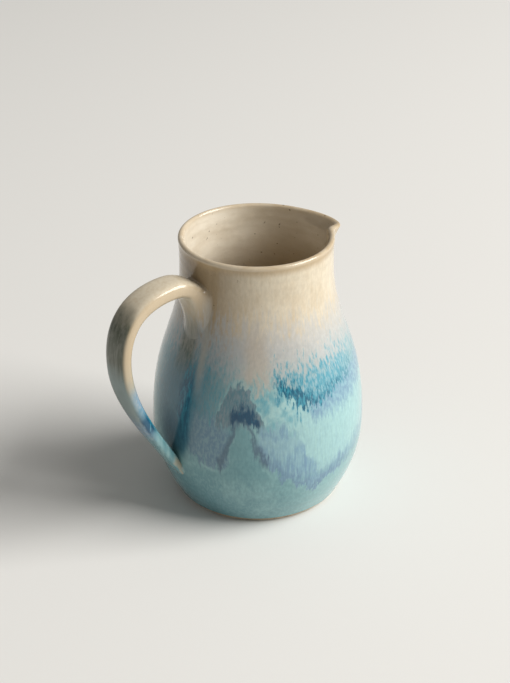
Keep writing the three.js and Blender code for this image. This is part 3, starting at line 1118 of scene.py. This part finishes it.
@node_group("Strap glaze", sockets("Float", *WAYS) + sockets("Color", *TINTS), COLOUR_OUT)
def strap_glaze(r, place, start, end):
    """Glaze on the strap: cream over the crest, olive down the outer face, lavender and teal below. The
    olive on the outer face, turned from the key light, is partly painted shade.
    """
    wander = r.math("SUBTRACT", r.noise(place, (90, 90, 60), 3.0), 0.5)
    streak = r.noise(place, (420, 420, 60), 3.0, 0.6)
    grain = r.noise(place, (800, 800, 400), 3.0, 0.6)
    along = r.math("ADD", start["Along"], r.product(wander, 0.09))
    outer = r.step(start["Through"], -0.35, 0.65)
    edge = r.step(r.math("ABSOLUTE", start["Across"]), 0.72, 0.98)

    def ramp(value, *stops):
        shade = stops[0][1]
        for (low, _), (top, tinted) in zip(stops, stops[1:]):
            shade = r.blend(r.step(value, low, top), shade, tinted)
        return shade

    # Olive down the outer face, which lies in shade: partly glaze colour, partly painted shade.
    shaded_olive = r.flecked(start["Olive"], r.between("Olive", "Haze", 0.35), streak, 0.6, 0.38, 0.64)
    buff = r.flecked(start["Cream"], r.between("Cream", "Ochre", 0.5), streak, 0.5, 0.36, 0.7)
    tan = r.between("Cream", "Ochre", 0.75)
    tan = r.flecked(tan, r.between("Haze", "Ochre", 0.7), streak, 1.0, 0.36, 0.7)
    grey = r.blend(0.35, r.between("Haze", "Teal", 0.6), start["Olive"])
    lilac = r.flecked(start["Lavender"], r.between("Haze", "Lavender", 0.6), grain, 1.0, 0.35, 0.7)
    low = r.flecked(start["Teal"], start["Mint"], streak, 0.5, 0.36, 0.66)
    thin = r.between("Cream", "Ochre", 0.6)
    face = ramp(
        along,
        (0.0, buff), (0.24, buff), (0.34, shaded_olive), (0.43, shaded_olive),
        (0.52, grey), (0.63, grey), (0.74, lilac), (0.84, low),
    )
    under = ramp(
        along,
        (0.0, buff), (0.3, buff), (0.4, tan), (0.5, grey),
        (0.6, lilac), (0.7, start["Turquoise"]), (0.8, low),
    )
    r.shade = r.blend(outer, under, face)
    blue = r.product(edge, r.step(along, 0.62, 0.68), r.step(along, 0.8, 0.74), r.step(streak, 0.36, 0.5))
    r.lay(start["Cobalt"], blue, 0.9)
    r.lay(thin, edge, r.step(along, 0.6, 0.48), 0.8)
    r.lay(thin, edge, r.step(along, 0.90, 0.96), r.step(wander, -0.06, 0.06), 0.7)
    r.give(end["Color"], r.shade)


# ---------------------------------------------------------------- materials


def glaze_tints(glaze, names=TINTS):
    return {name: solid(getattr(glaze, name.lower())) for name in names}


def new_material(name):
    """A material with its recipe, its Principled shader and its object coordinates."""
    material = bpy.data.materials.new(name)
    material.use_nodes = True
    recipe = Recipe(material.node_tree)
    shader = material.node_tree.nodes["Principled BSDF"]
    place = recipe.node("TexCoord").outputs["Object"]
    return material, recipe, shader, place


def relief(recipe, shader, height, strength, distance):
    """Bumps the surface by a height."""
    bump = recipe.node("Bump")
    bump.inputs["Strength"].default_value = strength
    bump.inputs["Distance"].default_value = distance
    recipe.give(bump.inputs["Height"], height)
    recipe.give(shader.inputs["Normal"], bump.outputs[0])


def glazed(recipe, shader, place, shade):
    """Feeds a glaze colour and the shared gloss and relief to the shader."""
    surface = glaze_surface(recipe, place)
    recipe.give(shader.inputs["Base Color"], shade)
    recipe.give(shader.inputs["Roughness"], surface["Roughness"])
    shader.inputs["IOR"].default_value = 1.5
    shader.inputs["Coat Weight"].default_value = 0.2
    shader.inputs["Coat Roughness"].default_value = 0.06
    relief(recipe, shader, surface["Height"], 0.12, 0.4 * MM)


def attribute(recipe, name):
    return recipe.node("Attribute", attribute_name=name).outputs["Fac"]


def strap_coat(recipe, place, glaze):
    ways = {name: attribute(recipe, name.lower()) for name in WAYS}
    return strap_glaze(recipe, place, **ways, **glaze_tints(glaze))[0]


def wall_coat(recipe, place, glaze):
    return wall_glaze(recipe, place, **glaze_tints(glaze))[0]


def body_material(glaze):
    material, r, shader, place = new_material("Body glaze")
    lip = attribute(r, "lip")
    liner = liner_glaze(r, place, Lip=lip, **glaze_tints(glaze, LINER_TINTS))[0]
    over_lip = r.math("MAXIMUM", attribute(r, "inner"), r.step(lip, 0.2, 0.9))
    glazed(r, shader, place, r.blend(over_lip, wall_coat(r, place, glaze), liner))
    return material


def strap_material(glaze):
    material, r, shader, place = new_material("Strap glaze")
    glazed(r, shader, place, strap_coat(r, place, glaze))
    return material


def root_material(glaze):
    """The strap's glaze that turns into the wall's, from the strap onto the wall."""
    material, r, shader, place = new_material("Root glaze")
    onto_wall = attribute(r, "onto_wall")
    glazed(r, shader, place, r.blend(onto_wall, strap_coat(r, place, glaze), wall_coat(r, place, glaze)))
    return material


def clay_material(glaze):
    """Bare fired clay: fine sand, darker pores, and turning rings underneath."""
    material, r, shader, place = new_material("Bare clay")
    x, y, _ = r.node("SeparateXYZ", place).outputs
    radius = r.math("SQRT", r.math("ADD", r.product(x, x), r.product(y, y)))
    sand = r.noise(place, (1400, 1400, 1400), 4.0, 0.65)
    patch = r.noise(place, (70, 70, 70), 3.0)
    rings = r.math("SINE", r.product(radius, 3600.0))
    light, dark = solid(glaze.clay), solid([c * 0.55 for c in glaze.clay])
    shade = r.blend(r.step(patch, 0.35, 0.7), light, r.blend(0.35, light, dark))
    shade = r.blend(r.step(sand, 0.52, 0.72), shade, dark)
    grains = r.step(sand, 0.36, 0.26)
    shade = r.blend(r.product(grains, 0.6), shade, solid([min(1, c * 1.35) for c in glaze.clay]))
    r.give(shader.inputs["Base Color"], shade)
    r.give(shader.inputs["Roughness"], r.step(sand, 0.2, 0.8, 0.72, 0.95))
    relief(r, shader, r.math("ADD", sand, r.product(rings, 0.18)), 0.35, 0.3 * MM)
    return material


def floor_material(colour_value):
    """Matt pale paper with a barely seen tooth."""
    material, r, shader, place = new_material("Pale floor")
    tooth = r.noise(place, (900, 900, 900), 3.0)
    base = solid(colour_value)
    darker = solid([c * 0.985 for c in colour_value])
    r.give(shader.inputs["Base Color"], r.blend(tooth, base, darker))
    shader.inputs["Roughness"].default_value = 0.7
    shader.inputs["Specular IOR Level"].default_value = 0.06
    return material


# ---------------------------------------------------------------- stage


def aim_at(thing, eye, target, roll=0.0):
    thing.location = eye
    thing.rotation_mode = "QUATERNION"
    facing = (target - eye).to_track_quat("-Z", "Y").to_matrix()
    thing.rotation_quaternion = (facing @ Matrix.Rotation(roll, 3, "Z")).to_quaternion()


def around(target, azimuth, elevation, distance):
    """A point round the target; azimuth 0 is on the -Y side and grows towards +X, in radians."""
    flat = math.cos(elevation)
    way = Vector((math.sin(azimuth) * flat, -math.cos(azimuth) * flat, math.sin(elevation)))
    return target + way * distance


def area_light(name, eye, target, side, power, tint):
    data = bpy.data.lights.new(name, "AREA")
    data.shape = "RECTANGLE"
    data.size, data.size_y = side, side
    data.energy, data.color = power, tint
    light = bpy.data.objects.new(name, data)
    bpy.context.scene.collection.objects.link(light)
    aim_at(light, eye, target)


class PITCHER_OT_stage(bpy.types.Operator):
    """Lay the pale floor, set the soft lights and place the camera"""

    bl_idname = "pitcher.stage"
    bl_label = "Stage"

    CAMERA_AIM = Vector((-1.1, 0.9, 102.1)) * MM  # a little above the middle of the pot

    def execute(self, context):
        scene = context.scene
        stage = scene.pitcher.stage
        scene.view_settings.view_transform = "Standard"

        bm = bmesh.new()
        bmesh.ops.create_grid(bm, x_segments=8, y_segments=8, size=stage.floor_side / 2)
        floor = placed_mesh(bm, "studio_floor", floor_material(stage.floor_colour))

        middle = Vector((0, 0, CAD_HIGH.z * 0.5))
        key_eye = around(middle, stage.camera_turn + stage.key_turn, stage.key_elevation, stage.key_distance)
        area_light("Key light", key_eye, middle, stage.key_side, stage.key_power, stage.key_colour)

        world = bpy.data.worlds.new("Soft room")
        world.use_nodes = True
        background = world.node_tree.nodes["Background"]
        background.inputs["Color"].default_value = solid(stage.fill_colour)
        background.inputs["Strength"].default_value = stage.fill
        scene.world = world

        data = bpy.data.cameras.new("Camera")
        data.sensor_width = 36
        data.lens = stage.lens
        data.clip_start, data.clip_end = 0.05, 50
        camera = bpy.data.objects.new("Camera", data)
        scene.collection.objects.link(camera)
        eye = around(self.CAMERA_AIM, stage.camera_turn, stage.camera_elevation, stage.camera_distance)
        aim_at(camera, eye, self.CAMERA_AIM, stage.camera_roll)
        scene.camera = camera
        return {"FINISHED"}


# ---------------------------------------------------------------- panel and run


OPERATORS = (PITCHER_OT_stage, PITCHER_OT_body, PITCHER_OT_foot, PITCHER_OT_handle, PITCHER_OT_root_clay)


class PITCHER_PT_pitcher(bpy.types.Panel):
    """Lists the pitcher's pieces, in the order in which they are made"""

    bl_label = "Pitcher"
    bl_space_type = "VIEW_3D"
    bl_region_type = "UI"
    bl_category = "Pitcher"

    def draw(self, context):
        settings = context.scene.pitcher
        for operator in OPERATORS:
            self.layout.operator(operator.bl_idname)
        for part_name in PitcherSettings.__annotations__:
            part = getattr(settings, part_name)
            box = self.layout.box()
            for key in part.__annotations__:
                box.prop(part, key)


CLASSES = (
    BodySizes,
    SpoutSizes,
    HandleSizes,
    FootSizes,
    GlazeColours,
    StageSettings,
    PitcherSettings,
    *OPERATORS,
    PITCHER_PT_pitcher,
)


def register():
    for item in CLASSES:
        bpy.utils.register_class(item)
    bpy.types.Scene.pitcher = PointerProperty(type=PitcherSettings)


def unregister():
    del bpy.types.Scene.pitcher
    for item in reversed(CLASSES):
        bpy.utils.unregister_class(item)


def main():
    register()
    bpy.ops.pitcher.stage()
    bpy.ops.pitcher.body()
    bpy.ops.pitcher.foot()
    bpy.ops.pitcher.handle()
    bpy.ops.pitcher.root_clay()


if __name__ == "__main__":
    main()
